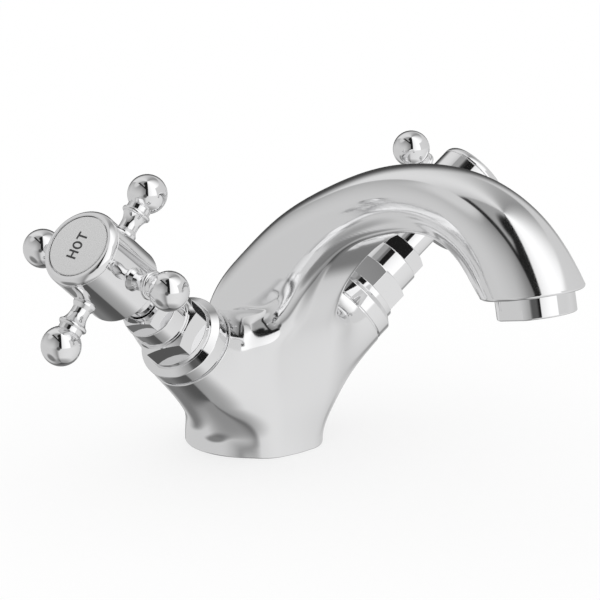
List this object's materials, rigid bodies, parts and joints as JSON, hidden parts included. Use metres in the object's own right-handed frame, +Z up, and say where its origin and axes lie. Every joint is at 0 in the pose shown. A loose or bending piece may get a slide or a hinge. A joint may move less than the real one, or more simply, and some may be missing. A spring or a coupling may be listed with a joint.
{
  "type": "basin mixer tap",
  "caption": "Chrome basin mixer tap with a swept arched spout, two angled quarter-turn valves and ball-ended cross handles, fixed through one tap hole.",
  "frame": {"origin": "middle of the round foot, on the face that sits on the basin", "axes": "+Z up from the basin, the spout reaches towards -Y, the hot valve is at -X and the cold at +X"},
  "size_m": [0.2022, 0.1733, 0.1104],
  "materials": {
    "chrome": "polished",
    "brass": "machined",
    "steel": "satin",
    "seal_rubber": "matt",
    "ceramic": "lapped",
    "washer_plastic": "matt",
    "insert_plastic": "moulded",
    "index_white": "glazed"
  },
  "bodies": {
    "tap_body": {"body_casting": "chrome", "base_gasket": "seal_rubber", "aerator_housing": "chrome", "aerator_mesh": "steel", "aerator_insert": "insert_plastic", "aerator_seal": "seal_rubber", "hot_valve_collar": "chrome", "hot_headwork_body": "chrome", "hot_gland_nut": "chrome", "hot_seat_seal": "seal_rubber", "hot_ceramic_disc_fixed": "ceramic", "hot_thrust_washer": "washer_plastic", "cold_valve_collar": "chrome", "cold_headwork_body": "chrome", "cold_gland_nut": "chrome", "cold_seat_seal": "seal_rubber", "cold_ceramic_disc_fixed": "ceramic", "cold_thrust_washer": "washer_plastic"},
    "hot_handle": {"hot_ceramic_disc_moving": "ceramic", "hot_spindle": "brass", "hot_spindle_seals": "seal_rubber", "hot_spindle_circlip": "steel", "hot_handle_hub": "chrome", "hot_drive_bush": "brass", "hot_handle_screw": "steel", "hot_index_bezel": "chrome", "hot_index_disc": "index_white", "hot_handle_arm_lower": "chrome", "hot_handle_arm_front": "chrome", "hot_handle_arm_upper": "chrome", "hot_handle_arm_rear": "chrome"},
    "cold_handle": {"cold_ceramic_disc_moving": "ceramic", "cold_spindle": "brass", "cold_spindle_seals": "seal_rubber", "cold_spindle_circlip": "steel", "cold_handle_hub": "chrome", "cold_drive_bush": "brass", "cold_handle_screw": "steel", "cold_index_bezel": "chrome", "cold_index_disc": "index_white", "cold_handle_arm_lower": "chrome", "cold_handle_arm_front": "chrome", "cold_handle_arm_upper": "chrome", "cold_handle_arm_rear": "chrome"}
  },
  "joints": [
    {"name": "hot_handle_turn", "type": "hinge", "parent": "tap_body", "child": "hot_handle", "pos_m": [-0.07662, -0.01729, 0.07573], "axis": [-0.7602, -0.1616, 0.6293], "range_deg": [0, 90]},
    {"name": "cold_handle_turn", "type": "hinge", "parent": "tap_body", "child": "cold_handle", "pos_m": [0.07662, -0.01729, 0.07573], "axis": [0.7602, -0.1616, 0.6293], "range_deg": [-90, 0]}
  ]
}
